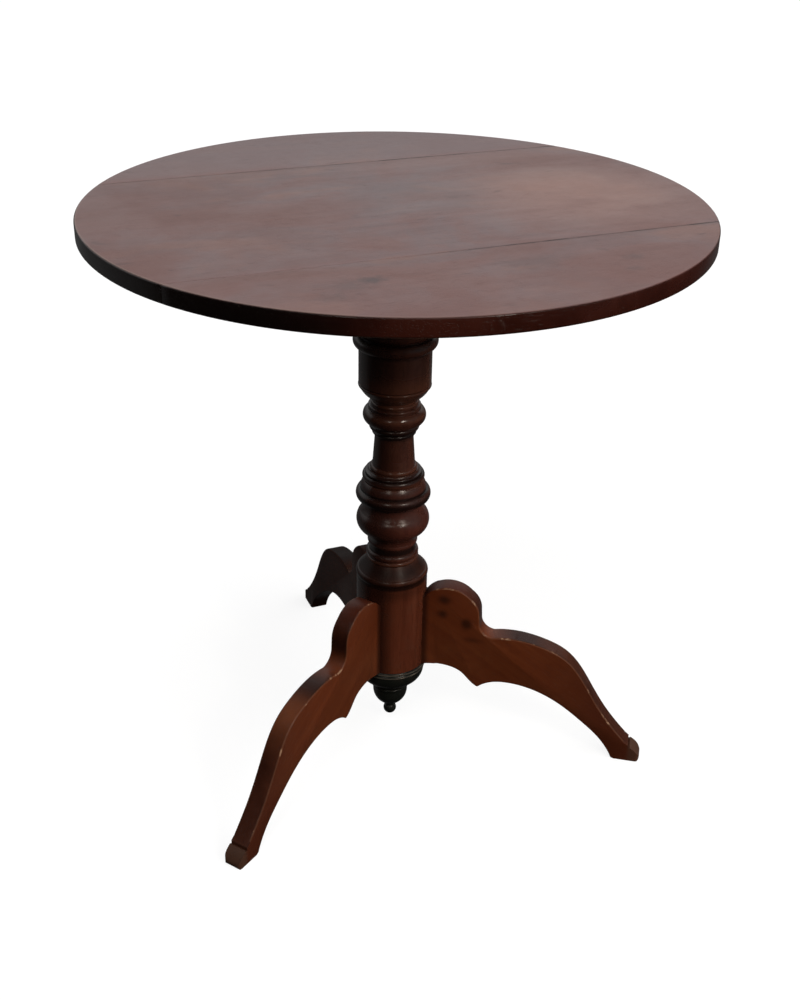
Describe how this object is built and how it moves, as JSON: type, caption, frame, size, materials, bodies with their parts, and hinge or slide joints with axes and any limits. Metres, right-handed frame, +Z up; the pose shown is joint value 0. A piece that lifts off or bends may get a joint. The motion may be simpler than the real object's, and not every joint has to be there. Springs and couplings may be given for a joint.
{
  "type": "wine table",
  "caption": "Round wooden table whose boarded top tilts up on a block over a turned column, with sawn scroll legs and a drop pendant.",
  "frame": {"origin": "on the floor, under the middle of the column", "axes": "+Z up, +X along the grain of the top, +Y towards the rear leg"},
  "size_m": [0.7, 0.7, 0.7121],
  "materials": {
    "top_wood": "worn matte polish",
    "under_wood": "bare aged wood",
    "column_wood": "dark glossy polish",
    "ebonised_wood": "black polish",
    "leg_wood": "worn satin polish",
    "brass": "aged brass",
    "steel": "dull steel"
  },
  "bodies": {
    "pedestal": {"column": "column_wood", "pendant": "ebonised_wood", "leg_rear": "leg_wood", "leg_left": "leg_wood", "leg_right": "leg_wood", "tilt_block": "under_wood", "tenon_wedge": "under_wood", "pivot_pins": "steel", "catch_keeper": "brass", "keeper_screws": "steel"},
    "top": {"top_board_rear": "top_wood", "top_board_middle": "top_wood", "top_board_front": "top_wood", "bearer_left": "under_wood", "bearer_right": "under_wood", "bearer_screws": "steel", "catch_plate": "brass", "catch_screws": "steel"},
    "catch": {"catch_bolt": "brass", "catch_knob": "brass"}
  },
  "joints": [
    {"name": "top_tilt", "type": "hinge", "parent": "pedestal", "child": "top", "pos_m": [0, 0.0594, 0.679], "axis": [-1, 0, 0], "range_deg": [0, 90]},
    {"name": "catch_slide", "type": "slide", "parent": "top", "child": "catch", "axis": [0, 1, 0], "range_m": [0, 0.014]}
  ]
}
